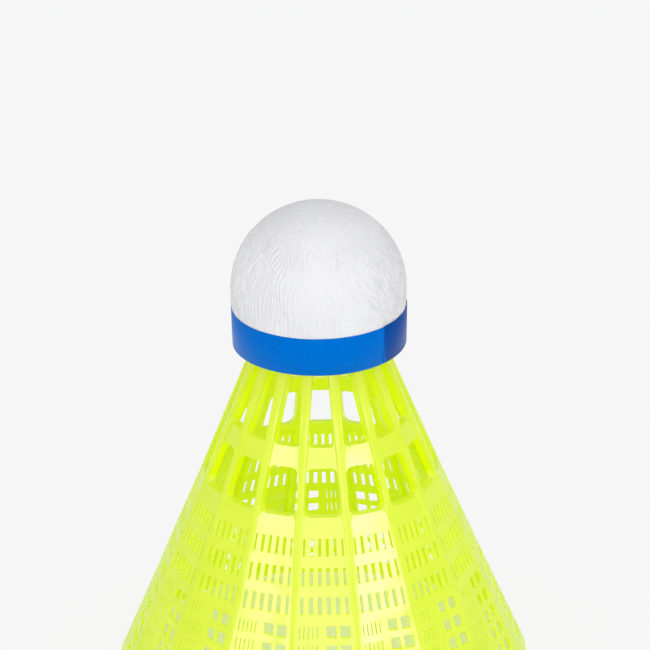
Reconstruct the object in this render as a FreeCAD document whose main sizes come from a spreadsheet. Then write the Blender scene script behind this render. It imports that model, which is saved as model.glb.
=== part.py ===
"""Badminton shuttlecock with a moulded nylon skirt, as a parametric FreeCAD document.

The object stands on the rim of its skirt, nose up. The origin is the centre of the rim's plane
and +Z runs along the axis towards the nose. A panel's middle faces -Y, and the ribs stand half
a panel to each side of it. "Depth" is measured down from the flat face of the cork.
"""
import FreeCAD, Part
import math
import os

import Sketcher
from FreeCAD import Placement, Rotation, Vector

DIMENSIONS = [
    # (alias, value in millimetres, degrees or a count, meaning)
    ("skirt_drop", 52.6, "height of the cork's flat face above the rim"),
    ("head_radius", 13.0, "outside of the cover"),
    ("head_straight", 8.8, "height of the head's straight side, below its dome"),
    ("cover_wall", 0.35, "thickness of the cover"),
    ("tape_wall", 0.12, "thickness of the rim tape"),
    ("tape_width", 5.84, "width of the rim tape"),
    ("tape_skew", 0.13, "how far the tape's lapped end sits above its start"),
    ("lap_start", -41.0, "angle from +X to the edge of the tape's lap, degrees"),
    ("lap_angle", 50.0, "angle covered by the lap, degrees"),
    ("plug_radius", 7.4, "outside of the skirt's tubular plug"),
    ("plug_bore", 6.5, "inside of the plug"),
    ("plug_length", 6.0, "length of the plug above the cork's flat face"),
    ("glue_wall", 0.15, "thickness of the glue film in the socket"),
    ("collar_radius", 9.6, "outside of the collar under the cork"),
    ("collar_edge", 0.9, "height of the collar's outer edge"),
    ("collar_wall", 1.3, "thickness of the collar"),
    ("cone_radius", 8.815, "radius of the skirt's outer cone at the cork's flat face"),
    ("cone_slope", 0.421, "growth of that radius per millimetre of depth"),
    ("cage_wall", 1.2, "wall of the open cage, along the radius"),
    ("mesh_wall", 0.42, "wall of the mesh, along the radius"),
    ("rim_wall", 0.80, "wall of the rim, along the radius"),
    ("rim_height", 1.6, "height of the thickened rim"),
    ("cage_end", 21.6, "depth where the cage's wall starts to thin"),
    ("mesh_start", 22.9, "depth where the mesh's wall is reached"),
    ("rib_count", 16, "ribs, and panels between them"),
    ("rib_width_top", 1.55, "rib width at the cork"),
    ("rib_width_mid", 0.94, "rib width at the lower ring"),
    ("rib_width_rim", 0.72, "rib width at the rim"),
    ("rib_proud_top", 0.75, "how far a rib stands out of the cone at the cork"),
    ("rib_proud_mid", 0.22, "the same at the lower ring"),
    ("rib_proud_rim", 0.10, "the same at the rim"),
    ("rib_deep_top", 1.55, "how far a rib reaches inside the cone at the cork"),
    ("rib_deep_mid", 1.05, "the same at the lower ring"),
    ("rib_deep_rim", 0.80, "the same at the rim"),
    ("rib_mid", 22.0, "depth of the rib's middle section"),
    ("gap_top", 1.8, "depth of the top of the upper gaps, under the collar"),
    ("gap_bottom", 11.22, "depth of the upper ring's top edge"),
    ("gap_round", 0.7, "corner radius of the upper gaps"),
    ("window_top", 14.09, "depth of the upper ring's bottom edge"),
    ("window_bottom", 20.65, "depth of the lower ring's top edge"),
    ("window_round", 1.15, "corner radius of the windows"),
    ("slot_top", 23.55, "depth of the first row of slots"),
    ("slot_step", 3.945, "depth from one row of slots to the next"),
    ("slot_height", 2.40, "height of a slot"),
    ("slot_angle", 3.38, "angle between slots, degrees"),
    ("slot_bar", 0.69, "width of the bar between two slots"),
    ("slot_end_cut", 0.08, "how much narrower the slots beside the ribs are, on each side"),
    ("grid_top", 35.37, "depth of the first row of squares and slits"),
    ("grid_step", 2.64, "depth from one of those rows to the next"),
    ("grid_height", 1.66, "height of a square or slit"),
    ("square_near", 2.3, "angle of the first square from the panel's middle, degrees"),
    ("square_far", 7.2, "angle of the second square, degrees"),
    ("square_angle", 3.5, "angle covered by a square, degrees"),
    ("square_slant", 0.22, "rise of the first square's bottom edge towards the slits"),
    ("slit_near", -2.7, "angle of the slit next to the squares, degrees"),
    ("slit_step", 1.55, "angle between slits, degrees"),
    ("slit_width", 0.15, "width of a slit"),
]
SLOT_ROWS = 3
SLOTS_PER_ROW = 6
GRID_ROWS = 6
SLITS_PER_ROW = 5
CUT_REACH = 45.0        # a panel's cuts run from the axis out through its wall
END_TOLERANCE = 1e-4    # how near its plane a flat end's corners lie
VALUES = {alias: value for alias, value, meaning in DIMENSIONS}


def make_sheet(doc):
    """The spreadsheet with every driving dimension."""
    sheet = doc.addObject("Spreadsheet::Sheet", "Dimensions")
    for row, (alias, value, meaning) in enumerate(DIMENSIONS, start=1):
        sheet.set(f"A{row}", meaning)
        sheet.set(f"B{row}", str(value))
        sheet.setAlias(f"B{row}", alias)
    doc.recompute()
    return sheet


def dim(formula):
    """A formula whose words are sheet aliases, written as a FreeCAD expression."""
    for alias in sorted(VALUES, key=len, reverse=True):
        formula = formula.replace(f"[{alias}]", f"Dimensions.{alias}")
    return formula


def cone(depth):
    """Formula for the outer cone's radius at a depth."""
    return f"([cone_radius] + [cone_slope] * ({depth}))"


def height(depth):
    """Formula for the height above the rim of a depth."""
    return f"([skirt_drop] - ({depth}))"


def make_body(doc, label):
    body = doc.addObject("PartDesign::Body", label)
    body.Label = label
    body.Placement = Placement()
    return body


def origin_item(body, role):
    """One of the body's own origin planes or axes."""
    return next(item for item in body.Origin.OriginFeatures if item.Role == role)


def make_sketch(body, name, plane="XZ_Plane"):
    sketch = body.newObject("Sketcher::SketchObject", name)
    sketch.AttachmentSupport = [(origin_item(body, plane), "")]
    sketch.MapMode = "FlatFace"
    return sketch


def turn_sketch(sketch, formula):
    """Turn an upright sketch about the object's axis."""
    sketch.AttachmentOffset = Placement(Vector(), Rotation(Vector(0, 1, 0), 1.0))
    sketch.setExpression("AttachmentOffset.Rotation.Angle", dim(formula))


def value_of(doc, formula):
    """The number that a formula gives, used as a starting value."""
    return float(doc.getObject("Dimensions").evalExpression(dim(formula)))


def pin_point(sketch, geometry, vertex, axis, formula):
    """Hold one coordinate of a point to a formula."""
    value = value_of(sketch.Document, formula)
    kind = "DistanceX" if axis == 0 else "DistanceY"
    index = sketch.addConstraint(Sketcher.Constraint(kind, -1, 1, geometry, vertex, value))
    sketch.setExpression(f"Constraints[{index}]", dim(formula))


def draw_outline(sketch, corners):
    """A closed outline of straight lines through corners given as pairs of formulas."""
    doc = sketch.Document
    points = [Vector(value_of(doc, x), value_of(doc, y), 0) for x, y in corners]
    first = sketch.GeometryCount
    lines = [Part.LineSegment(a, b) for a, b in zip(points, points[1:] + points[:1])]
    sketch.addGeometry(lines, False)
    count = len(lines)
    joints = [Sketcher.Constraint("Coincident", first + i, 2, first + (i + 1) % count, 1)
              for i in range(count)]
    sketch.addConstraint(joints)
    for i, (x, y) in enumerate(corners):
        pin_point(sketch, first + i, 1, 0, x)
        pin_point(sketch, first + i, 1, 1, y)


def draw_rounded(sketch, corners, radius):
    """A closed four-sided outline with rounded corners."""
    doc = sketch.Document
    points = [Vector(value_of(doc, x), value_of(doc, y), 0) for x, y in corners]
    round_off = value_of(doc, radius)
    count = len(points)
    guides = [sketch.addGeometry(Part.Point(point), True) for point in points]
    for guide, (x, y) in zip(guides, corners):
        pin_point(sketch, guide, 1, 0, x)
        pin_point(sketch, guide, 1, 1, y)
    ends = []
    for i, point in enumerate(points):
        back = (points[i - 1] - point).normalize()
        ahead = (points[(i + 1) % count] - point).normalize()
        half = back.getAngle(ahead) / 2
        reach = round_off / math.tan(half)
        ends.append((point + back * reach, point + ahead * reach, back, ahead, half))
    sides = []
    for i in range(count):
        side = Part.LineSegment(ends[i][1], ends[(i + 1) % count][0])
        sides.append(sketch.addGeometry(side, False))
    for i, (start, end, back, ahead, half) in enumerate(ends):
        middle_way = (back + ahead).normalize()
        centre = points[i] + middle_way * (round_off / math.sin(half))
        through = centre - middle_way * round_off
        arc = sketch.addGeometry(Part.Arc(start, through, end), False)
        arc_start = sketch.Geometry[arc].StartPoint
        near, far = (1, 2) if arc_start.distanceToPoint(start) < round_off / 100 else (2, 1)
        sketch.addConstraint(Sketcher.Constraint("Tangent", sides[i - 1], 2, arc, near))
        sketch.addConstraint(Sketcher.Constraint("Tangent", sides[i], 1, arc, far))
        held = sketch.addConstraint(Sketcher.Constraint("Radius", arc, round_off))
        sketch.setExpression(f"Constraints[{held}]", dim(radius))
    for i, side in enumerate(sides):
        for guide in (guides[i], guides[(i + 1) % count]):
            sketch.addConstraint(Sketcher.Constraint("PointOnObject", guide, 1, side))


def revolve(body, name, sketch, angle="360", midplane=False):
    """Turn a profile about the object's axis."""
    feature = body.newObject("PartDesign::Revolution", name)
    feature.Profile = sketch
    feature.ReferenceAxis = (origin_item(body, "Z_Axis"), [""])
    feature.Midplane = midplane
    feature.setExpression("Angle", dim(angle))
    return feature


def cut_panel(body, name, sketch):
    """Cut a sketch through the wall of the panel that faces -Y."""
    pocket = body.newObject("PartDesign::Pocket", name)
    pocket.Profile = sketch
    pocket.Length = CUT_REACH
    pocket.Reversed = True
    pocket.Refine = False
    return pocket


def join(sketch, first, first_end, second, second_end):
    """Hold the ends of two pieces of a sketch together; end 1 is a start and 2 an end."""
    sketch.addConstraint(Sketcher.Constraint("Coincident", first, first_end, second, second_end))


def draw_dome(sketch, radius):
    """A quarter circle from the head's straight side up to its nose."""
    doc = sketch.Document
    centre_y = "[skirt_drop] + [head_straight]"
    middle = Vector(0, value_of(doc, centre_y), 0)
    size = value_of(doc, radius)
    arc = Part.ArcOfCircle(Part.Circle(middle, Vector(0, 0, 1), size), 0, math.pi / 2)
    dome = sketch.addGeometry(arc, False)
    pin_point(sketch, dome, 3, 1, centre_y)
    sketch.addConstraint(Sketcher.Constraint("PointOnObject", dome, 3, -2))
    pin_point(sketch, dome, 1, 0, radius)
    pin_point(sketch, dome, 1, 1, centre_y)
    sketch.addConstraint(Sketcher.Constraint("PointOnObject", dome, 2, -2))
    return dome


def draw_chain(sketch, corners):
    """Lines through corners given as pairs of formulas; the chain's two ends stay free."""
    doc = sketch.Document
    points = [Vector(value_of(doc, x), value_of(doc, y), 0) for x, y in corners]
    first = sketch.GeometryCount
    lines = [Part.LineSegment(a, b) for a, b in zip(points, points[1:])]
    sketch.addGeometry(lines, False)
    last = first + len(lines) - 1
    for line in range(first, last):
        join(sketch, line, 2, line + 1, 1)
    for line, (x, y) in zip(range(first + 1, last + 1), corners[1:-1]):
        pin_point(sketch, line, 1, 0, x)
        pin_point(sketch, line, 1, 1, y)
    return first, last


def make_core(doc):
    """The cork: a straight-sided plug of cork with a round nose and a socket in its flat face."""
    body = make_body(doc, "cork_core")
    sketch = make_sketch(body, "core_profile")
    radius = "([head_radius] - [cover_wall])"
    socket = "([plug_radius] + [glue_wall])"
    roof = "([skirt_drop] + [plug_length] + [glue_wall])"
    centre = "([skirt_drop] + [head_straight])"
    dome = draw_dome(sketch, radius)
    first, last = draw_chain(sketch, [(radius, centre), (radius, "[skirt_drop]"),
                                      (socket, "[skirt_drop]"), (socket, roof),
                                      ("0", roof), ("0", f"({centre} + {radius})")])
    join(sketch, dome, 1, first, 1)
    join(sketch, last, 2, dome, 2)
    revolve(body, "core_turn", sketch)
    return body


def make_cover(doc):
    """The white skin over the nose and the side of the cork."""
    body = make_body(doc, "cork_cover")
    sketch = make_sketch(body, "cover_profile")
    outer = "[head_radius]"
    inner = "([head_radius] - [cover_wall])"
    centre = "([skirt_drop] + [head_straight])"
    outer_dome = draw_dome(sketch, outer)
    inner_dome = draw_dome(sketch, inner)
    side = draw_chain(sketch, [(outer, centre), (outer, "[skirt_drop]"),
                               (inner, "[skirt_drop]"), (inner, centre)])
    join(sketch, outer_dome, 1, side[0], 1)
    join(sketch, side[1], 2, inner_dome, 1)
    nose = draw_chain(sketch, [("0", f"({centre} + {outer})"), ("0", f"({centre} + {inner})")])
    join(sketch, nose[0], 1, outer_dome, 2)
    join(sketch, nose[1], 2, inner_dome, 2)
    revolve(body, "cover_turn", sketch)
    return body


def make_ring(doc, label, inner, outer, low, high):
    """A plain ring turned from a rectangle."""
    body = make_body(doc, label)
    sketch = make_sketch(body, label + "_profile")
    draw_outline(sketch, [(inner, low), (outer, low), (outer, high), (inner, high)])
    revolve(body, label + "_turn", sketch)
    return body


def make_tape(doc):
    """The coloured tape round the head's lower edge, with its end lapped over its start."""
    outer = "([head_radius] + [tape_wall])"
    top = "([skirt_drop] + [tape_width])"
    body = make_ring(doc, "rim_tape", "[head_radius]", outer, "[skirt_drop]", top)
    sketch = make_sketch(body, "lap_profile")
    turn_sketch(sketch, "[lap_start]")
    lifted = "([skirt_drop] + [tape_skew])"
    lifted_top = "([skirt_drop] + [tape_width] + [tape_skew])"
    crown = "([head_radius] + 2 * [tape_wall])"
    draw_outline(sketch, [("[head_radius]", lifted), (crown, lifted),
                          (crown, lifted_top), ("[head_radius]", lifted_top)])
    revolve(body, "lap_turn", sketch, "[lap_angle]")
    return body


def make_glue(doc):
    """The film of glue that holds the skirt's plug in the cork's socket."""
    return make_ring(doc, "socket_glue", "[plug_radius]", "([plug_radius] + [glue_wall])",
                     "[skirt_drop]", "([skirt_drop] + [plug_length])")


def skirt_profile():
    """Corners of the skirt's wall, from the plug down the outside and back up the inside."""
    rim = "[skirt_drop]"
    bead = "([skirt_drop] - [rim_height])"
    bead_end = "([skirt_drop] - [rim_height] - ([rim_wall] - [mesh_wall]))"
    return [
        ("[plug_bore]", "([skirt_drop] + [plug_length])"),
        ("[plug_radius]", "([skirt_drop] + [plug_length])"),
        ("[plug_radius]", "[skirt_drop]"),
        ("[collar_radius]", "[skirt_drop]"),
        ("[collar_radius]", height("[collar_edge]")),
        (cone("[collar_wall]"), height("[collar_wall]")),
        (cone(rim), "0"),
        (f"({cone(rim)} - [rim_wall])", "0"),
        (f"({cone(bead)} - [rim_wall])", height(bead)),
        (f"({cone(bead_end)} - [mesh_wall])", height(bead_end)),
        (f"({cone('[mesh_start]')} - [mesh_wall])", height("[mesh_start]")),
        (f"({cone('[cage_end]')} - [cage_wall])", height("[cage_end]")),
        (f"({cone('[collar_wall]')} - [cage_wall])", height("[collar_wall]")),
        ("[plug_bore]", height("[collar_wall]")),
    ]


def rib_side(depth):
    """Formula for the distance from a panel's middle to the side of its rib."""
    width = "([rib_width_top] + ([rib_width_mid] - [rib_width_top])"
    width += f" * ({depth}) / [rib_mid])"
    half_panel = "(180 / [rib_count])"
    return f"({cone(depth)} * sin({half_panel}) - {width} / 2 * cos({half_panel}))"


def cut_opening(body, name, top, bottom, radius):
    """One rounded opening between two ribs, from a top depth to a bottom depth."""
    sketch = make_sketch(body, name + "_outline")
    corners = [(f"-{rib_side(top)}", height(top)), (f"-{rib_side(bottom)}", height(bottom)),
               (rib_side(bottom), height(bottom)), (rib_side(top), height(top))]
    draw_rounded(sketch, corners, radius)
    return cut_panel(body, name, sketch)


def draw_leaning(sketch, top, bottom, left, right):
    """A four-sided hole whose sides lean with the cone; left and right take a depth."""
    draw_outline(sketch, [(left(top), height(top)), (left(bottom), height(bottom)),
                          (right(bottom), height(bottom)), (right(top), height(top))])


def cut_slots(body, row):
    """One row of slots in the panel that faces -Y."""
    sketch = make_sketch(body, f"slot_row_{row + 1}_outline")
    top = f"([slot_top] + {row} * [slot_step])"
    bottom = f"({top} + [slot_height])"
    for column in range(SLOTS_PER_ROW):
        angle = f"({column - (SLOTS_PER_ROW - 1) / 2} * [slot_angle])"
        trim = "[slot_end_cut]" if column in (0, SLOTS_PER_ROW - 1) else "0"
        half = f"(({cone(top)} * [slot_angle] * pi / 180 - [slot_bar]) / 2 - {trim})"

        def edge(side):
            return lambda depth: f"({cone(depth)} * sin({angle}) {side} {half})"

        draw_leaning(sketch, top, bottom, edge("-"), edge("+"))
    return cut_panel(body, f"slot_row_{row + 1}", sketch)


def cut_grid(body, row):
    """One row of two squares and five slits in the panel that faces -Y."""
    sketch = make_sketch(body, f"grid_row_{row + 1}_outline")
    top = f"([grid_top] + {row} * [grid_step])"
    bottom = f"({top} + [grid_height])"
    near_angles = ("([square_near] - [square_angle] / 2)", "([square_near] + [square_angle] / 2)")
    far_angles = ("([square_far] - [square_angle] / 2)", "([square_far] + [square_angle] / 2)")

    def across(depth, angle):
        return f"({cone(depth)} * sin({angle}))"

    short = f"({bottom} - [square_slant])"
    draw_outline(sketch, [(across(top, near_angles[0]), height(top)),
                          (across(short, near_angles[0]), height(short)),
                          (across(bottom, near_angles[1]), height(bottom)),
                          (across(top, near_angles[1]), height(top))])
    draw_leaning(sketch, top, bottom, lambda depth: across(depth, far_angles[0]),
                 lambda depth: across(depth, far_angles[1]))
    for column in range(SLITS_PER_ROW):
        angle = f"([slit_near] - {column} * [slit_step])"
        draw_leaning(sketch, top, bottom,
                     lambda depth: f"({across(depth, angle)} - [slit_width] / 2)",
                     lambda depth: f"({across(depth, angle)} + [slit_width] / 2)")
    return cut_panel(body, f"grid_row_{row + 1}", sketch)


def rib_section(body, name, side, depth, width, proud, deep):
    """A level cross-section of the half rib at one side of the panel."""
    sketch = make_sketch(body, name, "XY_Plane")
    sketch.AttachmentOffset = Placement(Vector(0, 0, 1), Rotation(Vector(0, 0, 1), 1.0))
    sketch.setExpression("AttachmentOffset.Base.z", dim(height(depth)))
    sketch.setExpression("AttachmentOffset.Rotation.Angle", dim(f"{side} * 180 / [rib_count]"))
    outer = f"-({cone(depth)} + {proud})"
    inner = f"-({cone(depth)} - {deep})"
    flank = f"{-side} * {width} / 2"
    draw_outline(sketch, [("0", outer), (flank, outer), (flank, inner), ("0", inner)])
    return sketch


def add_half_rib(body, side):
    """Half of the straight, tapering rib at one side of the panel, split on the rib's middle."""
    name = "right" if side > 0 else "left"
    sections = [
        rib_section(body, f"{name}_rib_top", side, "0", "[rib_width_top]",
                    "[rib_proud_top]", "[rib_deep_top]"),
        rib_section(body, f"{name}_rib_middle", side, "[rib_mid]", "[rib_width_mid]",
                    "[rib_proud_mid]", "[rib_deep_mid]"),
        rib_section(body, f"{name}_rib_rim", side, "[skirt_drop]", "[rib_width_rim]",
                    "[rib_proud_rim]", "[rib_deep_rim]"),
    ]
    loft = body.newObject("PartDesign::AdditiveLoft", f"{name}_rib")
    loft.Profile = sections[0]
    loft.Sections = sections[1:]
    loft.Ruled = True
    loft.Refine = False
    return loft


def make_panel(doc):
    """One panel of the skirt, from the middle of a rib to the middle of the next."""
    body = make_body(doc, "skirt_panel")
    sketch = make_sketch(body, "wall_profile")
    turn_sketch(sketch, "-90")
    draw_outline(sketch, skirt_profile())
    revolve(body, "wall", sketch, "360 / [rib_count]", midplane=True)
    cut_opening(body, "upper_gap", "[gap_top]", "[gap_bottom]", "[gap_round]")
    cut_opening(body, "window", "[window_top]", "[window_bottom]", "[window_round]")
    for row in range(SLOT_ROWS):
        cut_slots(body, row)
    for row in range(GRID_ROWS):
        cut_grid(body, row)
    for side in (-1, 1):
        add_half_rib(body, side)
    return body


def is_panel_end(face, half_angle):
    """Whether a face lies in one of the two upright planes where a panel meets the next."""
    for turn in (-half_angle, half_angle):
        normal = Vector(math.cos(turn), math.sin(turn), 0)
        if all(abs(corner.Point.dot(normal)) < END_TOLERANCE for corner in face.Vertexes):
            return True
    return False


def make_skirt(doc, sheet, panel):
    """The one-piece nylon moulding: plug, collar, ribs, two rings, mesh and rim.

    The panel is repeated all the way round. Its flat ends are left out, and the other faces
    are joined edge to edge into one closed solid, because the panels are one moulding.
    """
    count = int(sheet.rib_count)
    faces = [face for face in panel.Shape.Faces if not is_panel_end(face, math.pi / count)]
    around = []
    for step in range(count):
        for face in faces:
            turned = face.copy()
            turned.rotate(Vector(), Vector(0, 0, 1), 360 / count * step)
            around.append(turned)
    wall = Part.makeCompound(around)
    wall.sewShape()
    skirt = doc.addObject("Part::Feature", "skirt")
    skirt.Label = "skirt"
    skirt.Shape = Part.Solid(wall.Shells[0])
    skirt.Placement = Placement()
    return skirt


def check(doc, pieces):
    """Stop on any failed object, and on any shape that isn't one valid solid."""
    for item in doc.Objects:
        if "Invalid" in item.State or "Error" in item.State:
            raise RuntimeError(f"{item.Name} failed: {item.State} {item.getStatusString()}")
    for piece in pieces:
        shape = piece.Shape
        if shape.isNull() or not shape.isValid() or len(shape.Solids) != 1:
            raise RuntimeError(f"{piece.Label} isn't one valid solid")


def check_cuts(body):
    """Each panel cut has to take material away."""
    before = None
    for feature in body.Group:
        if not hasattr(feature, "AddSubShape"):
            continue
        volume = feature.Shape.Volume
        if feature.TypeId == "PartDesign::Pocket" and volume >= before:
            raise RuntimeError(f"{feature.Name} cuts nothing")
        before = volume


def export(pieces):
    os.makedirs("parts", exist_ok=True)
    for piece in pieces:
        shape = piece.Shape
        shape.exportStep(f"parts/{piece.Label}.step")
        print(f"{piece.Label}: volume {shape.Volume:.1f} mm3, z {shape.BoundBox.ZMin:.2f} "
              f"to {shape.BoundBox.ZMax:.2f}, faces {len(shape.Faces)}")


def main():
    doc = FreeCAD.newDocument("Shuttlecock")
    sheet = make_sheet(doc)
    panel = make_panel(doc)
    pieces = [make_core(doc), make_cover(doc), make_tape(doc), make_glue(doc)]
    doc.recompute()
    check_cuts(panel)
    pieces.append(make_skirt(doc, sheet, panel))
    check(doc, pieces)
    export(pieces)


main()
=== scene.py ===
"""Looks of a nylon badminton shuttlecock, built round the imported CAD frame.

Everything is in metres in the frame's axes: the origin is the centre of the rim, +Z points to the
nose and the middle of a panel faces -Y. The skirt, the cover and the tape are worked out in
millimetres and scaled when their meshes are made. On the skirt, depth is measured down from the
cork's flat face.
"""
import math

import bmesh
import bpy
import numpy as np
from mathutils import Matrix, Vector, noise
from mathutils.geometry import delaunay_2d_cdt


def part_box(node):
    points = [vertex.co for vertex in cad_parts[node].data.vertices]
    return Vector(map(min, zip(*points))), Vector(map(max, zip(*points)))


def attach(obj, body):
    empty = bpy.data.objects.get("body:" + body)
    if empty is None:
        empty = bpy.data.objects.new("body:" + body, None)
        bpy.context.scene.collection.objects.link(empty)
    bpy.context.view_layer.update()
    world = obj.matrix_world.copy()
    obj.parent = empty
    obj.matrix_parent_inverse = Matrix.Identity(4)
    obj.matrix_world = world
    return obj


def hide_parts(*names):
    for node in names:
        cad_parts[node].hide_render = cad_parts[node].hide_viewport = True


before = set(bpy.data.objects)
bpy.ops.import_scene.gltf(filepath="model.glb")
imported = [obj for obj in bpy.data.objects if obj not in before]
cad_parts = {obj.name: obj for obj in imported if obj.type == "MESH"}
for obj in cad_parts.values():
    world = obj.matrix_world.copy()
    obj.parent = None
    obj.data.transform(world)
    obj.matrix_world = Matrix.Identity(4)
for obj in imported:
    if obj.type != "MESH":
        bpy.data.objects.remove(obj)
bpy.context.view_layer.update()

MM = 0.001
BODY = "root"

# ---------------------------------------------------------------- sizes from the frame
cover_low, cover_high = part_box("cork_cover")
tape_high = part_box("rim_tape")[1]
skirt_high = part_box("skirt")[1]
FACE_Z = cover_low.z / MM                       # the cork's flat face
NOSE_Z = cover_high.z / MM
HEAD_RADIUS = cover_high.x / MM
PLUG_LENGTH = skirt_high.z / MM - FACE_Z

# ---------------------------------------------------------------- the skirt's sizes, in millimetres
RIBS = 16
HALF_PANEL = math.pi / RIBS
CONE_RADIUS, CONE_SLOPE = 8.815, 0.421
PLUG_RADIUS, PLUG_BORE = 7.4, 6.5
COLLAR_RADIUS, COLLAR_EDGE, COLLAR_WALL = 9.6, 0.9, 1.3
CAGE_WALL, MESH_WALL, RIM_WALL, RIM_HEIGHT = 1.2, 0.42, 0.80, 1.6
CAGE_END, MESH_START = 21.6, 22.9
BEAD_START = FACE_Z - RIM_HEIGHT - RIM_WALL + MESH_WALL
BEAD_FULL = FACE_Z - RIM_HEIGHT
RIB_DEPTHS = (0.0, 22.0, FACE_Z)
RIB_WIDTHS = (1.55, 0.94, 0.72)
RIB_PROUD = (0.75, 0.22, 0.10)
RIB_DEEP = (1.55, 1.05, 0.80)
GAP_TOP, GAP_BOTTOM, GAP_ROUND = 1.8, 11.22, 0.7
WINDOW_TOP, WINDOW_BOTTOM, WINDOW_ROUND = 14.09, 20.65, 1.15
SLOT_TOP, SLOT_STEP, SLOT_HEIGHT, SLOT_ROWS, SLOTS = 23.55, 3.945, 2.40, 3, 6
SLOT_ANGLE, SLOT_BAR, SLOT_END_CUT = math.radians(3.38), 0.69, 0.08
GRID_TOP, GRID_STEP, GRID_HEIGHT, GRID_ROWS = 35.37, 2.64, 1.66, 6
SQUARE_NEAR, SQUARE_FAR, SQUARE_ANGLE = (math.radians(a) for a in (2.3, 7.2, 3.5))
SQUARE_SLANT = 0.22
SLIT_NEAR, SLIT_STEP, SLITS, SLIT_WIDTH = math.radians(-2.7), math.radians(1.55), 5, 0.11
EDGE_ROUND = 0.05                               # moulded edge round every hole
HOLE_ROUND = 0.10                               # corners of slots
SQUARE_ROUND = 0.15                             # corners of squares
FLATNESS = 0.80                                 # 0 for a round skirt, 1 for flat panels between ribs
RIB_PROFILE = ((-0.14, 1.0), (-0.05, 0.88),     # a rib's rounded edge: distance past its half width,
               (0.03, 0.15), (0.10, 0.0))       # and the share of its height that is left there

# how finely a panel is divided
FLAT_SCALE = 20.0                               # spreads panel angles to about their real width
COLUMNS, PLUG_ROWS, CAGE_ROWS, MESH_ROWS = 17, 4, 14, 24
JUMP = 0.01                                     # half the depth over which the outline steps
FILL_STEP, FILL_GAP = 0.85, 0.3                 # points between the lines, and how near they may come
WELD = 0.004                                    # joins each panel to the next
SKIRT_SHARP, HEAD_SHARP = math.radians(33), math.radians(50)


def cone(depth):
    """Outer radius of the skirt's wall at a depth."""
    return CONE_RADIUS + CONE_SLOPE * depth


def along_rib(values, depth):
    """One of the rib's measures at a depth."""
    return float(np.interp(depth, RIB_DEPTHS, values))


def rib_side(depth):
    """Sideways distance from a panel's middle to the flank of its rib."""
    half_width = along_rib(RIB_WIDTHS, depth) / 2
    return cone(depth) * math.sin(HALF_PANEL) - half_width * math.cos(HALF_PANEL)


def wall_inside(depth):
    """Inner radius of the wall between the ribs."""
    depths = (COLLAR_WALL, CAGE_END, MESH_START, BEAD_START, BEAD_FULL)
    walls = (CAGE_WALL, CAGE_WALL, MESH_WALL, MESH_WALL, RIM_WALL)
    return cone(depth) - float(np.interp(depth, depths, walls))


def rib_share(from_middle, depth):
    """1 on the rib's flat top, 0 beside it, rounded between, by distance from its middle."""
    across = from_middle - along_rib(RIB_WIDTHS, depth) / 2
    offsets, shares = zip(*RIB_PROFILE)
    return float(np.interp(across, offsets, shares))


def skirt_radii(angle, depth):
    """Outer and inner radius of the moulding at an angle from the panel's middle."""
    if depth < 0:
        return PLUG_RADIUS, PLUG_BORE
    bow = FLATNESS * (1 / math.cos(angle) - (1 + 1 / math.cos(HALF_PANEL)) / 2)
    bow *= min(1.0, max(0.0, depth - COLLAR_WALL) / GAP_BOTTOM) * cone(depth)
    from_middle = cone(depth) * math.sin(HALF_PANEL - abs(angle))
    share = rib_share(from_middle, depth)
    outer = cone(depth) + bow * (1 - share) + along_rib(RIB_PROUD, depth) * share
    if depth < COLLAR_WALL:
        lip = np.interp(depth, (COLLAR_EDGE, COLLAR_WALL), (COLLAR_RADIUS, cone(COLLAR_WALL)))
        return max(outer, float(lip)), PLUG_BORE
    inner = wall_inside(depth) + bow
    return outer, inner - (inner - cone(depth) + along_rib(RIB_DEEP, depth)) * share


# ---------------------------------------------------------------- a panel's holes: (sideways, depth)
def rounded(corners, radius, steps):
    """A closed outline with every corner replaced by an arc."""
    outline = []
    count = len(corners)
    points = [Vector(c) for c in corners]
    for i, point in enumerate(points):
        back = (points[i - 1] - point).normalized()
        ahead = (points[(i + 1) % count] - point).normalized()
        half = back.angle(ahead) / 2
        centre = point + (back + ahead).normalized() * (radius / math.sin(half))
        start = point + back * (radius / math.tan(half)) - centre
        end = point + ahead * (radius / math.tan(half)) - centre
        sweep = start.angle_signed(end)
        for step in range(steps + 1):
            outline.append(centre + Matrix.Rotation(-sweep * step / steps, 2) @ start)
    return [(p.x, p.y) for p in outline]


def leaning(top, bottom, left, right, radius, steps):
    """A hole with four sides; left and right give its sides at a depth."""
    corners = [(left(top), top), (left(bottom), bottom), (right(bottom), bottom), (right(top), top)]
    return rounded(corners, radius, steps) if radius else corners


def openings():
    """The two large openings between a pair of ribs."""
    for top, bottom, radius in ((GAP_TOP, GAP_BOTTOM, GAP_ROUND),
                                (WINDOW_TOP, WINDOW_BOTTOM, WINDOW_ROUND)):
        yield leaning(top, bottom, lambda d: -rib_side(d), rib_side, radius, 6)


def slots():
    """Rows of slots, above the squares."""
    for row in range(SLOT_ROWS):
        top = SLOT_TOP + row * SLOT_STEP
        for column in range(SLOTS):
            angle = (column - (SLOTS - 1) / 2) * SLOT_ANGLE
            trim = SLOT_END_CUT if column in (0, SLOTS - 1) else 0
            half = (cone(top) * SLOT_ANGLE - SLOT_BAR) / 2 - trim
            yield leaning(top, top + SLOT_HEIGHT, lambda d: cone(d) * math.sin(angle) - half,
                          lambda d: cone(d) * math.sin(angle) + half, HOLE_ROUND, 2)


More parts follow.
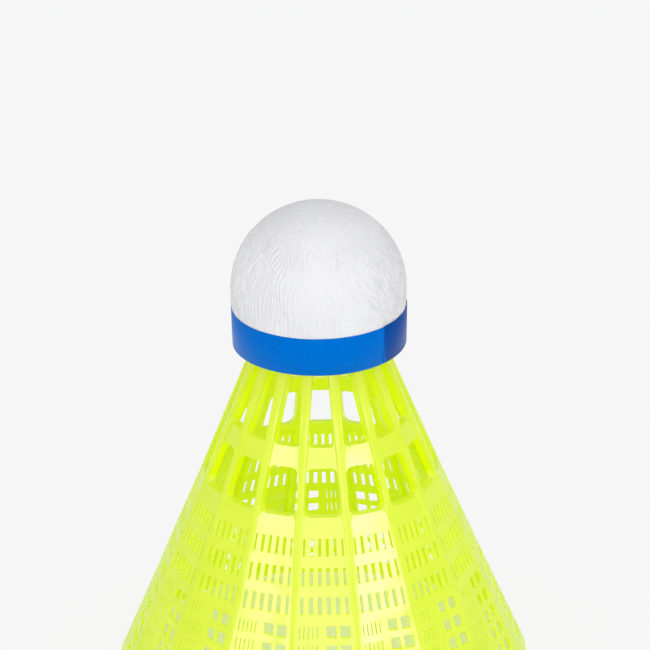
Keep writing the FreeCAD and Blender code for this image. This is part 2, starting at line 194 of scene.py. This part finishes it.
def grid_holes():
    """Rows of two squares and five slits."""
    for row in range(GRID_ROWS):
        top = GRID_TOP + row * GRID_STEP
        bottom = top + GRID_HEIGHT
        near = (SQUARE_NEAR - SQUARE_ANGLE / 2, SQUARE_NEAR + SQUARE_ANGLE / 2)
        far = (SQUARE_FAR - SQUARE_ANGLE / 2, SQUARE_FAR + SQUARE_ANGLE / 2)
        short = bottom - SQUARE_SLANT
        slanted = [(cone(top) * math.sin(near[0]), top), (cone(short) * math.sin(near[0]), short),
                   (cone(bottom) * math.sin(near[1]), bottom), (cone(top) * math.sin(near[1]), top)]
        yield rounded(slanted, SQUARE_ROUND, 2)
        yield leaning(top, bottom, lambda d: cone(d) * math.sin(far[0]),
                      lambda d: cone(d) * math.sin(far[1]), SQUARE_ROUND, 2)
        for column in range(SLITS):
            angle = SLIT_NEAR - column * SLIT_STEP
            yield leaning(top, bottom, lambda d: cone(d) * math.sin(angle) - SLIT_WIDTH / 2,
                          lambda d: cone(d) * math.sin(angle) + SLIT_WIDTH / 2, 0, 0)


def flat(sideways, depth):
    """A panel point in the flat plane where the mesh is divided."""
    return Vector((math.asin(sideways / cone(depth)) * FLAT_SCALE, depth))


def inside(points, outline):
    """Which points lie inside a closed outline."""
    x, y = points[:, 0], points[:, 1]
    result = np.zeros(len(points), bool)
    for (x1, y1), (x2, y2) in zip(outline, outline[1:] + outline[:1]):
        crosses = (y1 > y) != (y2 > y)
        if y1 != y2:
            result ^= crosses & (x < (x2 - x1) * (y - y1) / (y2 - y1) + x1)
    return result


def near_lines(points, starts, ends, gap):
    """Which points lie closer than a gap to any line."""
    along = ends - starts
    length = np.maximum((along ** 2).sum(1), 1e-12)
    offset = points[:, None] - starts[None]
    share = np.clip((offset * along).sum(2) / length, 0, 1)
    return (np.linalg.norm(offset - share[..., None] * along, axis=2) < gap).any(1)


def divide_panel():
    """Triangles of one panel in the flat plane, with its holes left out."""
    width = HALF_PANEL * FLAT_SCALE
    columns = np.linspace(-width, width, COLUMNS)
    level_depths = (-JUMP, JUMP, COLLAR_EDGE, COLLAR_WALL - JUMP, COLLAR_WALL + JUMP,
                    CAGE_END, MESH_START, BEAD_START, BEAD_FULL)
    points, edges = [], []

    def add_line(line, closed=False):
        first = len(points)
        points.extend(Vector(p) for p in line)
        edges.extend((first + i, first + i + 1) for i in range(len(line) - 1))
        if closed:
            edges.append((first + len(line) - 1, first))

    for depth in (-PLUG_LENGTH, FACE_Z) + level_depths:
        add_line([(x, depth) for x in columns])
    side_depths = np.concatenate([np.linspace(-PLUG_LENGTH, -JUMP, PLUG_ROWS), (JUMP, COLLAR_EDGE),
                                  np.linspace(COLLAR_WALL + JUMP, CAGE_END, CAGE_ROWS),
                                  np.linspace(MESH_START, FACE_Z, MESH_ROWS)])
    for side in (-1, 1):
        add_line([(side * width, d) for d in side_depths])
        for offset, _ in RIB_PROFILE:
            line = []
            for depth in side_depths[PLUG_ROWS:]:
                across = along_rib(RIB_WIDTHS, depth) / 2 + offset
                angle = HALF_PANEL - math.asin(across / cone(depth))
                line.append((side * angle * FLAT_SCALE, depth))
            add_line(line)
    outlines = [[tuple(flat(*p)) for p in hole] for hole in [*openings(), *slots(), *grid_holes()]]
    for outline in outlines:
        add_line(outline, closed=True)

    lines = np.array([[tuple(points[a]), tuple(points[b])] for a, b in edges])
    fill_depths = np.arange(-PLUG_LENGTH + 1, FACE_Z, FILL_STEP)
    fill = np.array([(x, d) for x in columns for d in fill_depths])
    fill = fill[~near_lines(fill, lines[:, 0], lines[:, 1], FILL_GAP)]
    for outline in outlines:
        fill = fill[~inside(fill, outline)]
    points.extend(Vector(p) for p in fill)

    verts, _, faces, *_ = delaunay_2d_cdt(points, edges, [], 0, 1e-5)
    verts = np.array([tuple(v) for v in verts])
    faces = np.array([tuple(f) for f in faces])
    centres = verts[faces].mean(axis=1)
    keep = np.ones(len(faces), bool)
    for outline in outlines:
        keep &= ~inside(centres, outline)
    return verts, faces[keep], width


def place(angle, radius, depth):
    """A point of the panel in the frame, in millimetres."""
    return Vector((radius * math.sin(angle), -radius * math.cos(angle), FACE_Z - depth))


def turned_out(verts, faces):
    """The same triangles, all turned so that they face out of the skirt."""
    a, b, c = (verts[faces[:, i]] for i in range(3))
    turn = (b[:, 0] - a[:, 0]) * (c[:, 1] - a[:, 1]) - (b[:, 1] - a[:, 1]) * (c[:, 0] - a[:, 0])
    return np.where((turn > 0)[:, None], faces[:, ::-1], faces)


def open_edges(verts, faces, width):
    """Edges with one face only, round the holes and ends but not where panels meet."""
    directed = dict.fromkeys((tri[i], tri[(i + 1) % 3]) for tri in faces for i in range(3))
    seam = np.abs(verts[:, 0]) > width - 1e-6
    return [(a, b) for a, b in directed if (b, a) not in directed and not (seam[a] and seam[b])]


def build_panel():
    """Vertices and faces of one panel as a closed moulding, open only where it meets the next."""
    flat_verts, flat_faces, width = divide_panel()
    flat_faces = turned_out(flat_verts, flat_faces)
    rim = open_edges(flat_verts, flat_faces, width)
    outer, inner, normals = [], [], []
    for x, depth in flat_verts:
        angle = x / FLAT_SCALE
        radii = skirt_radii(angle, depth)
        outer.append(place(angle, radii[0], depth))
        inner.append(place(angle, radii[1], depth))
        normals.append(Vector((math.sin(angle), -math.cos(angle), CONE_SLOPE)).normalized())

    push = {}
    for a, b in rim:
        for points, key in ((outer, 0), (inner, 1)):
            way = normals[a].cross((points[b] - points[a]).normalized()).normalized()
            for end in (a, b):
                push.setdefault((end, key), []).append(way)

    def outward(end, key):
        """The way from a point on an edge into its hole, longer at a corner."""
        ways = push[(end, key)]
        total = sum(ways, Vector()).normalized()
        return total / max(total.dot(ways[0]), 0.5)

    verts, faces = [], []
    count = len(flat_verts)
    on_rim = sorted({end for edge in rim for end in edge})
    row = {end: i for i, end in enumerate(on_rim)}
    flat_outer, flat_inner = list(outer), list(inner)
    for end in on_rim:
        flat_outer[end] = outer[end] + outward(end, 0) * EDGE_ROUND
        flat_inner[end] = inner[end] + outward(end, 1) * EDGE_ROUND
    verts += flat_outer + flat_inner
    verts += [outer[end] - normals[end] * EDGE_ROUND for end in on_rim]
    verts += [inner[end] + normals[end] * EDGE_ROUND for end in on_rim]
    faces += [tuple(int(i) for i in tri) for tri in flat_faces]
    faces += [tuple(int(i) + count for i in tri[::-1]) for tri in flat_faces]
    high, low = 2 * count, 2 * count + len(on_rim)
    for a, b in rim:
        levels = [(a, b), (high + row[a], high + row[b]), (low + row[a], low + row[b]),
                  (count + a, count + b)]
        for (a1, b1), (a2, b2) in zip(levels, levels[1:]):
            faces.append((int(b1), int(a1), int(a2), int(b2)))
    return verts, faces


def new_piece(name, mesh, material, node):
    """An object that stands for a CAD node and rides on its body."""
    piece = bpy.data.objects.new(name, mesh)
    bpy.context.scene.collection.objects.link(piece)
    mesh.materials.append(material)
    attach(piece, BODY)
    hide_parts(node)
    return piece


def finish_mesh(bm, name, sharp_angle):
    """A mesh with its normals facing out, smooth but for its sharp edges."""
    bmesh.ops.recalc_face_normals(bm, faces=bm.faces)
    for face in bm.faces:
        face.smooth = True
    for edge in bm.edges:
        edge.smooth = len(edge.link_faces) == 2 and edge.calc_face_angle(0) < sharp_angle
    mesh = bpy.data.meshes.new(name)
    bm.to_mesh(mesh)
    bm.free()
    return mesh


def make_skirt(material):
    """The moulded skirt: one panel repeated round the axis and joined into one closed mesh."""
    verts, faces = build_panel()
    bm = bmesh.new()
    for step in range(RIBS):
        turn = Matrix.Rotation(2 * HALF_PANEL * step, 3, "Z")
        made = [bm.verts.new(turn @ v * MM) for v in verts]
        for face in faces:
            bm.faces.new([made[i] for i in face])
    bmesh.ops.remove_doubles(bm, verts=bm.verts, dist=WELD * MM)
    mesh = finish_mesh(bm, "skirt_moulding", SKIRT_SHARP)
    piece = new_piece("skirt_moulding", mesh, material, "skirt")
    weighted = piece.modifiers.new("flat_faces", "WEIGHTED_NORMAL")
    weighted.keep_sharp = True


# ---------------------------------------------------------------- the head, in millimetres
LAP_START, LAP_ANGLE = math.radians(47), math.radians(52)
TAPE_WALL, TAPE_EDGE = 0.12, 0.03
TAPE_SKEW = 0.13                                # how far the lapped end stands above the start
TAPE_CLIMB = 0.03                               # turn, in radians, over which the lap climbs
TAPE_RIPPLE = 0.02
TAPE_STEPS = 420
TAPE_TOP = tape_high.z / MM - TAPE_SKEW
TAPE_SUNK = 0.20                                # how deep the wound tape presses into the cover
TAPE_CLEAR = 0.01                               # gap between the tape and the cover
PRESS_HEIGHT = 0.45                             # how far above the tape the cover is drawn in
HEAD_TAPER = 0.14                               # how much narrower the head is at its flat face
COVER_WALL = 0.35
COVER_SUNK = 0.22                               # leaves the wrinkles room under the head's full size
DEEPEST = 0.31                                  # the deepest wrinkle still leaves skin over the cork
RIDGES, RIDGE_SWAY = 124, 8.0                   # ridges round the cover; how far they wander, in radians
RIDGE_HEIGHT, STROKE_HEIGHT, GRAIN_HEIGHT = 0.115, 0.155, 0.030
LEAN, LEAN_DROP = 0.055, 14                     # how the strokes lean, and the drop where they start
DOME_GRID, SIDE_ROWS, INNER_ROWS = 136, 36, 9


def taper(height):
    """How far the head's side draws in at a height, towards its flat face."""
    return HEAD_TAPER * min(1.0, max(0.0, (TAPE_TOP - height) / (TAPE_TOP - FACE_Z))) ** 1.5


def pressed(height):
    """1 where the tape presses the cover flat, 0 above, and a smooth step between."""
    return min(1.0, max(0.0, (TAPE_TOP + PRESS_HEIGHT - height) / PRESS_HEIGHT)) ** 3


def eased(value, low, high):
    """0 below low, 1 above high and a smooth step between."""
    share = min(1.0, max(0.0, (value - low) / (high - low)))
    return share * share * (3 - 2 * share)


def wrinkle(azimuth, drop, steep):
    """Height of the wrinkles, by azimuth from -Y towards +X and distance down from the nose."""
    side = math.sin(azimuth)
    slanted = eased(side, 0.15, 0.75)
    turned = azimuth - LEAN * slanted * (drop - LEAN_DROP)
    x, y = math.sin(turned) * HEAD_RADIUS, math.cos(turned) * HEAD_RADIUS

    def field(across, down, shift=0):
        """Smooth noise with its own scale across and down the head."""
        return noise.noise(Vector((x / across, y / across, drop / down + shift)))

    ridges = math.cos(RIDGES * turned + RIDGE_SWAY * field(2.2, 3.4))
    ridges *= eased(field(1.1, 2.6, 9), -0.55, 0.10)
    strokes = 1 - 2 * abs(field(0.36, 1.7, 7))
    patch = 0.9 + 0.5 * field(6, 6, 3)
    strength = max(0.5, patch) * (0.45 + 0.55 * eased(abs(side), 0.05, 0.45))
    folds = (RIDGE_HEIGHT * (1 - 0.6 * slanted) * ridges
             + STROKE_HEIGHT * (0.35 + slanted) * strokes)
    return (folds * strength + GRAIN_HEIGHT * field(0.30, 0.7, 3)) * steep


def dome_directions(count):
    """Directions over the upper half of a ball, from the faces of a cube, as one grid mesh."""
    bm = bmesh.new()
    tangents = [math.tan(math.pi / 4 * (2 * i / count - 1)) for i in range(count + 1)]

    def grid(point, rows, columns):
        made = [[bm.verts.new(point(i, j).normalized()) for j in range(columns + 1)]
                for i in range(rows + 1)]
        for i in range(rows):
            for j in range(columns):
                bm.faces.new([made[i][j], made[i][j + 1], made[i + 1][j + 1], made[i + 1][j]])

    grid(lambda i, j: Vector((tangents[j], tangents[i], 1)), count, count)
    for quarter in range(4):
        turn = Matrix.Rotation(math.pi / 2 * quarter, 3, "Z")
        grid(lambda i, j: turn @ Vector((1, tangents[j], tangents[count // 2 + i])),
             count // 2, count)
    bmesh.ops.remove_doubles(bm, verts=bm.verts, dist=1e-5)
    return bm


def extrude_ring(bm, edges, height, scale=1.0):
    """One more ring below an open ring of edges; returns the new ring's edges."""
    made = bmesh.ops.extrude_edge_only(bm, edges=edges)["geom"]
    for vert in (item for item in made if isinstance(item, bmesh.types.BMVert)):
        vert.co = Vector((vert.co.x * scale, vert.co.y * scale, height))
    return [item for item in made if isinstance(item, bmesh.types.BMEdge)]


def make_cover(material):
    """The white skin over the cork: a dome and a straight side with fine wrinkles."""
    centre = NOSE_Z - HEAD_RADIUS
    bm = dome_directions(DOME_GRID)
    for vert in bm.verts:
        vert.co = vert.co * HEAD_RADIUS + Vector((0, 0, centre))
    ring = [e for e in bm.edges if e.is_boundary]
    side = centre - FACE_Z
    for step in range(1, SIDE_ROWS + 1):
        ring = extrude_ring(bm, ring, centre - side * step / SIDE_ROWS)
    for vert in bm.verts:
        up = max(0.0, vert.co.z - centre)
        out = Vector((vert.co.x, vert.co.y, up)).normalized()
        azimuth = math.atan2(vert.co.x, -vert.co.y)
        polar = math.acos(min(1.0, up / HEAD_RADIUS))
        drop = polar * HEAD_RADIUS + max(0.0, centre - vert.co.z)
        steep = 0.1 + 0.9 * eased(polar, 0.45, 1.15)
        flat_share = pressed(vert.co.z)
        level = wrinkle(azimuth, drop, steep) * (1 - flat_share)
        level -= COVER_SUNK + (TAPE_SUNK + TAPE_CLEAR - COVER_SUNK) * flat_share
        vert.co += out * (max(level, -DEEPEST) - taper(vert.co.z))
    ring = extrude_ring(bm, ring, FACE_Z, 1 - COVER_WALL / HEAD_RADIUS)
    for share in (0.5, 1.0):
        ring = extrude_ring(bm, ring, FACE_Z + side * share)
    for step in range(1, INNER_ROWS):
        polar = math.pi / 2 * (1 - step / INNER_ROWS)
        narrower = math.sin(polar) / math.sin(polar + math.pi / 2 / INNER_ROWS)
        height = centre + (HEAD_RADIUS - COVER_WALL) * math.cos(polar)
        ring = extrude_ring(bm, ring, height, narrower)
    bmesh.ops.contextual_create(bm, geom=ring)
    bmesh.ops.scale(bm, vec=Vector((MM, MM, MM)), verts=bm.verts)
    mesh = finish_mesh(bm, "wrinkled_cover", HEAD_SHARP)
    new_piece("wrinkled_cover", mesh, material, "cork_cover")


def make_tape(material):
    """The tape: one strip wound round the head, its end lapped over its start."""
    width = tape_high.z / MM - FACE_Z - TAPE_SKEW
    section = [(0, 0), (TAPE_WALL - TAPE_EDGE, 0), (TAPE_WALL, TAPE_EDGE), (TAPE_WALL, width / 2),
               (TAPE_WALL, width - TAPE_EDGE), (TAPE_WALL - TAPE_EDGE, width), (0, width)]
    bm = bmesh.new()
    rows = []
    for step in range(TAPE_STEPS + 1):
        turned = (2 * math.pi + LAP_ANGLE) * step / TAPE_STEPS
        over = min(1.0, max(0.0, (turned - 2 * math.pi + TAPE_CLIMB) / TAPE_CLIMB))
        base = HEAD_RADIUS + over * TAPE_WALL
        lift = TAPE_SKEW * over
        ripple = TAPE_RIPPLE * noise.noise(Vector((turned * 5, 0, 2)))
        angle = LAP_START + LAP_ANGLE - turned
        row = []
        for out, up in section:
            radius = base + out - TAPE_SUNK - taper(FACE_Z + up)
            height = FACE_Z + up + lift + ripple * up / width
            point = Vector((radius * math.sin(angle), -radius * math.cos(angle), height))
            row.append(bm.verts.new(point * MM))
        rows.append(row)
    for first, second in zip(rows, rows[1:]):
        for i in range(len(section)):
            j = (i + 1) % len(section)
            bm.faces.new([first[i], first[j], second[j], second[i]])
    bm.faces.new(rows[0])
    bm.faces.new(rows[-1][::-1])
    mesh = finish_mesh(bm, "wound_tape", HEAD_SHARP)
    new_piece("wound_tape", mesh, material, "rim_tape")


# ---------------------------------------------------------------- materials
class Nodes:
    """Short calls for building one material's nodes."""

    def __init__(self, name):
        self.material = bpy.data.materials.new(name)
        self.material.use_nodes = True
        self.tree = self.material.node_tree
        self.shader = self.tree.nodes["Principled BSDF"]
        self.place = self.add("ShaderNodeTexCoord").outputs["Object"]

    def add(self, kind, **settings):
        node = self.tree.nodes.new(kind)
        for key, value in settings.items():
            setattr(node, key, value)
        return node

    def link(self, source, target):
        self.tree.links.new(source, target)

    def set(self, **values):
        for key, value in values.items():
            self.shader.inputs[key.replace("_", " ")].default_value = value

    def stretched(self, scale):
        mapping = self.add("ShaderNodeMapping")
        mapping.inputs["Scale"].default_value = scale
        self.link(self.place, mapping.inputs["Vector"])
        return mapping.outputs["Vector"]

    def noise(self, scale, detail=4.0, vector=None, rough=0.5):
        node = self.add("ShaderNodeTexNoise")
        node.inputs["Scale"].default_value = scale
        node.inputs["Detail"].default_value = detail
        node.inputs["Roughness"].default_value = rough
        self.link(vector or self.place, node.inputs["Vector"])
        return node.outputs["Fac"]

    def cells(self, scale):
        """Distance from the middle of the nearest cell."""
        node = self.add("ShaderNodeTexVoronoi")
        node.inputs["Scale"].default_value = scale
        self.link(self.place, node.inputs["Vector"])
        return node.outputs["Distance"]

    def split(self, vector):
        node = self.add("ShaderNodeSeparateXYZ")
        self.link(vector, node.inputs["Vector"])
        return node.outputs

    def from_axis(self):
        """Distance from the object's axis."""
        level = self.add("ShaderNodeVectorMath", operation="MULTIPLY")
        level.inputs[1].default_value = (1, 1, 0)
        self.link(self.place, level.inputs[0])
        length = self.add("ShaderNodeVectorMath", operation="LENGTH")
        self.link(level.outputs["Vector"], length.inputs[0])
        return length.outputs["Value"]

    def ramp(self, factor, stops):
        node = self.add("ShaderNodeValToRGB")
        elements = node.color_ramp.elements
        while len(elements) < len(stops):
            elements.new(0.5)
        for element, (position, color) in zip(elements, stops):
            element.position = position
            element.color = (*color, 1)
        self.link(factor, node.inputs["Fac"])
        return node.outputs["Color"]

    def mix(self, factor, first, second):
        node = self.add("ShaderNodeMix", data_type="RGBA")
        for socket, value in (("Factor", factor), ("A", first), ("B", second)):
            target = next(i for i in node.inputs if i.name == socket and i.enabled)
            if isinstance(value, (float, int)):
                target.default_value = value
            elif isinstance(value, tuple):
                target.default_value = (*value, 1)
            else:
                self.link(value, target)
        return next(o for o in node.outputs if o.enabled)

    def math(self, operation, first, second):
        node = self.add("ShaderNodeMath", operation=operation)
        for socket, value in zip(node.inputs, (first, second)):
            if isinstance(value, (float, int)):
                socket.default_value = value
            else:
                self.link(value, socket)
        return node.outputs["Value"]

    def remap(self, factor, low, high, start=0.0, end=1.0):
        """From low to high as the factor goes from start to end."""
        node = self.add("ShaderNodeMapRange")
        node.inputs["From Min"].default_value = start
        node.inputs["From Max"].default_value = end
        node.inputs["To Min"].default_value = low
        node.inputs["To Max"].default_value = high
        self.link(factor, node.inputs["Value"])
        return node.outputs["Result"]

    def bump(self, height, strength, distance, normal=None):
        node = self.add("ShaderNodeBump")
        node.inputs["Strength"].default_value = strength
        node.inputs["Distance"].default_value = distance
        self.link(height, node.inputs["Height"])
        if normal:
            self.link(normal, node.inputs["Normal"])
        return node.outputs["Normal"]

    def color(self, output):
        self.link(output, self.shader.inputs["Base Color"])

    def rough(self, output):
        self.link(output, self.shader.inputs["Roughness"])

    def normal(self, output):
        self.link(output, self.shader.inputs["Normal"])


def nylon_material():
    """Translucent fluorescent nylon, with painted sheen on its outer faces and painted top light on its
    up-facing ledges, paler there than inside.
    """
    n = Nodes("neon_nylon")
    cloud = n.noise(180, 3)
    flow = n.noise(1.0, 3, n.stretched((700, 700, 120)))
    lift = n.math("MULTIPLY", n.split(n.place)["Z"], CONE_SLOPE)
    out_of_cone = n.math("SUBTRACT", n.math("ADD", n.from_axis(), lift), cone(FACE_Z) * MM)
    # painted sheen: outer faces get a paler, whiter tint that stands in for glossy highlights
    outer = n.remap(out_of_cone, 0, 1, -0.40 * MM, -0.22 * MM)
    # painted light: faces that turn up get the same pale tint, as if lit from above
    facing_up = n.split(n.add("ShaderNodeNewGeometry").outputs["Normal"])["Z"]
    painted_light_share = n.math("MAXIMUM", outer, n.remap(facing_up, 0, 1, 0.55, 0.80))
    # the pale tint below is the painted sheen and top light; the core tint is the nylon's own colour
    skin = n.ramp(cloud, [(0.3, (0.745, 0.82, 0.060)), (0.7, (0.79, 0.845, 0.100))])
    core = n.ramp(cloud, [(0.3, (0.83, 0.92, 0.002)), (0.7, (0.88, 0.94, 0.005))])
    tint = n.mix(painted_light_share, core, skin)
    n.color(tint)
    n.rough(n.remap(flow, 0.11, 0.19))
    wave = n.bump(n.noise(130, 1), 0.5, 0.0004)
    n.normal(n.bump(n.noise(2600, 3), 0.2, 0.00002, n.bump(flow, 0.2, 0.00004, wave)))
    n.set(IOR=1.65, Subsurface_Weight=0.3, Subsurface_Scale=0.0012)
    n.shader.inputs["Subsurface Radius"].default_value = (1.0, 1.0, 0.12)
    # painted glow: a steady emission lights the nylon without any lamp, standing in for its fluorescence
    # and the light passing through its walls
    n.set(Emission_Color=(0.62, 0.92, 0.0, 1), Emission_Strength=0.17)
    glow = n.add("ShaderNodeBsdfTranslucent")
    n.link(tint, glow.inputs["Color"])
    blend = n.add("ShaderNodeMixShader")
    blend.inputs["Fac"].default_value = 0.42
    n.link(n.shader.outputs["BSDF"], blend.inputs[1])
    n.link(glow.outputs["BSDF"], blend.inputs[2])
    n.link(blend.outputs["Shader"], n.tree.nodes["Material Output"].inputs["Surface"])
    return n.material


def cover_material():
    """White skin: pores and a faint grain over the modelled wrinkles."""
    n = Nodes("white_cover")
    patches = n.noise(90, 4)
    n.color(n.ramp(patches, [(0.3, (0.685, 0.685, 0.695)), (0.7, (0.720, 0.720, 0.725))]))
    n.rough(n.remap(n.noise(900, 3), 0.42, 0.58))
    grain = n.noise(1.0, 5, n.stretched((1600, 1600, 360)), 0.6)
    n.normal(n.bump(n.cells(3600), 0.25, 0.00003, n.bump(grain, 0.9, 0.00026)))
    n.set(Subsurface_Weight=0.05, Subsurface_Scale=0.0004)
    return n.material


def tape_material():
    """Blue tape, darker where its lap doubles it."""
    n = Nodes("blue_tape")
    streaks = n.noise(1.0, 4, n.stretched((2600, 2600, 160)))
    specks = n.noise(3200, 2)
    base = n.ramp(specks, [(0.35, (0.0, 0.122, 0.48)), (0.65, (0.0, 0.146, 0.57))])
    axes = n.split(n.place)
    middle = LAP_START + LAP_ANGLE / 2
    facing = n.math("ADD", n.math("MULTIPLY", axes["X"], math.sin(middle)),
                    n.math("MULTIPLY", axes["Y"], -math.cos(middle)))
    edge = (HEAD_RADIUS + TAPE_WALL - TAPE_SUNK / 2) * MM * math.cos(LAP_ANGLE / 2)
    doubled = n.math("GREATER_THAN", facing, edge)
    n.color(n.mix(doubled, base, (0.0, 0.055, 0.28)))
    n.rough(n.remap(specks, 0.28, 0.40))
    n.normal(n.bump(streaks, 0.12, 0.00002, n.bump(specks, 0.2, 0.00001)))
    n.set(IOR=1.18)
    n.shader.inputs["Specular Tint"].default_value = (0.0, 0.22, 0.8, 1)
    return n.material


def cork_material():
    """Natural cork: warm cells with dark pores."""
    n = Nodes("natural_cork")
    grain = n.noise(420, 6)
    body = n.ramp(grain, [(0.3, (0.34, 0.19, 0.09)), (0.5, (0.60, 0.39, 0.21)),
                          (0.75, (0.74, 0.53, 0.32))])
    pores = n.ramp(n.noise(650, 2), [(0.60, (0.0, 0.0, 0.0)), (0.66, (1.0, 1.0, 1.0))])
    n.color(n.mix(pores, body, (0.17, 0.085, 0.04)))
    n.rough(n.remap(grain, 0.75, 0.92))
    n.normal(n.bump(pores, 0.4, 0.0001, n.bump(n.cells(1500), 0.3, 0.00005)))
    return n.material


def glue_material():
    """Dried amber glue."""
    n = Nodes("dried_glue")
    n.color(n.ramp(n.noise(600, 3), [(0.3, (0.62, 0.50, 0.28)), (0.7, (0.78, 0.68, 0.45))]))
    n.rough(n.remap(n.noise(900, 2), 0.25, 0.45))
    n.normal(n.bump(n.noise(1200, 2), 0.3, 0.00005))
    return n.material


def floor_material():
    """A pale floor, evenly bright, with a painted shadow under the skirt: dark and barely glowing there,
    so that it takes mostly the skirt's own light.
    """
    n = Nodes("pale_floor")
    # painted shadow: inside the skirt's rim the floor is dark and glows little; outside it is pale and
    # glows evenly
    past_painted_shadow = n.remap(n.from_axis(), 0, 1, skirt_high.x - 2 * MM, skirt_high.x + MM)
    painted_shadow_tone = n.ramp(n.noise(3, 2), [(0.4, (0.10, 0.10, 0.10)), (0.6, (0.11, 0.11, 0.11))])
    n.color(n.mix(past_painted_shadow, (0.88, 0.88, 0.88), painted_shadow_tone))
    n.set(Roughness=1.0, Specular_IOR_Level=0.0)
    n.set(Emission_Color=(1.0, 1.0, 1.0, 1))
    n.link(n.remap(past_painted_shadow, 0.14, 0.83), n.shader.inputs["Emission Strength"])
    return n.material


def dress_node(name, material):
    """Give a CAD node that stays as it is a finished material."""
    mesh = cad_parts[name].data
    mesh.materials.clear()
    mesh.materials.append(material)


# ---------------------------------------------------------------- stage
AIM = Vector((0.0009, 0, FACE_Z * MM + 0.0025))   # the point at the picture's middle


def make_floor():
    """The wide floor that the rim stands on."""
    bm = bmesh.new()
    bmesh.ops.create_grid(bm, x_segments=8, y_segments=8, size=3.0)
    mesh = bpy.data.meshes.new("floor")
    bm.to_mesh(mesh)
    bm.free()
    mesh.materials.append(floor_material())
    floor = bpy.data.objects.new("floor", mesh)
    bpy.context.scene.collection.objects.link(floor)


def add_softbox(name, azimuth, elevation, distance, size, power):
    """An area light aimed at the object; azimuth 0 is in front of it, towards -Y."""
    light = bpy.data.lights.new(name, "AREA")
    light.shape = "RECTANGLE"
    light.size, light.size_y = size
    light.energy = power
    lamp = bpy.data.objects.new(name, light)
    bpy.context.scene.collection.objects.link(lamp)
    a, e = math.radians(azimuth), math.radians(elevation)
    way = Vector((math.sin(a) * math.cos(e), -math.cos(a) * math.cos(e), math.sin(e)))
    lamp.location = AIM + way * distance
    lamp.rotation_mode = "QUATERNION"
    lamp.rotation_quaternion = way.to_track_quat("Z", "Y")


def make_camera():
    """A long lens in front of the object, a little above it."""
    azimuth, elevation, roll = math.radians(-0.63), 0.412, -0.014
    distance = 0.873
    data = bpy.data.cameras.new("camera")
    data.lens = 327.96
    data.sensor_width = 36
    data.clip_end = 20
    camera = bpy.data.objects.new("camera", data)
    bpy.context.scene.collection.objects.link(camera)
    back = Vector((math.sin(azimuth) * math.cos(elevation),
                   -math.cos(azimuth) * math.cos(elevation), math.sin(elevation)))
    camera.location = AIM + back * distance
    camera.rotation_mode = "QUATERNION"
    level = back.to_track_quat("Z", "Y")
    camera.rotation_quaternion = level @ Matrix.Rotation(roll, 3, "Z").to_quaternion()
    bpy.context.scene.camera = camera


def make_light():
    """A pale room and five soft lights, in degrees, metres and watts."""
    world = bpy.data.worlds.new("studio")
    world.use_nodes = True
    room = world.node_tree.nodes["Background"]
    room.inputs["Color"].default_value = (0.97, 0.97, 1.0, 1)
    room.inputs["Strength"].default_value = 0.68
    bpy.context.scene.world = world
    add_softbox("front", 2, 20, 1.05, (0.6, 0.6), 3.9)
    add_softbox("right", 43, 14.5, 1.0, (0.16, 0.06), 0.65)
    add_softbox("side", 80, 25, 1.0, (0.4, 0.4), 0.95)
    add_softbox("left", -44, 17, 1.0, (0.18, 0.2), 0.95)
    add_softbox("top", 0, 88, 1.0, (0.6, 0.6), 1.6)


bpy.context.scene.view_settings.view_transform = "Standard"
make_camera()
make_light()
make_floor()
make_skirt(nylon_material())
make_cover(cover_material())
make_tape(tape_material())
dress_node("cork_core", cork_material())
dress_node("socket_glue", glue_material())
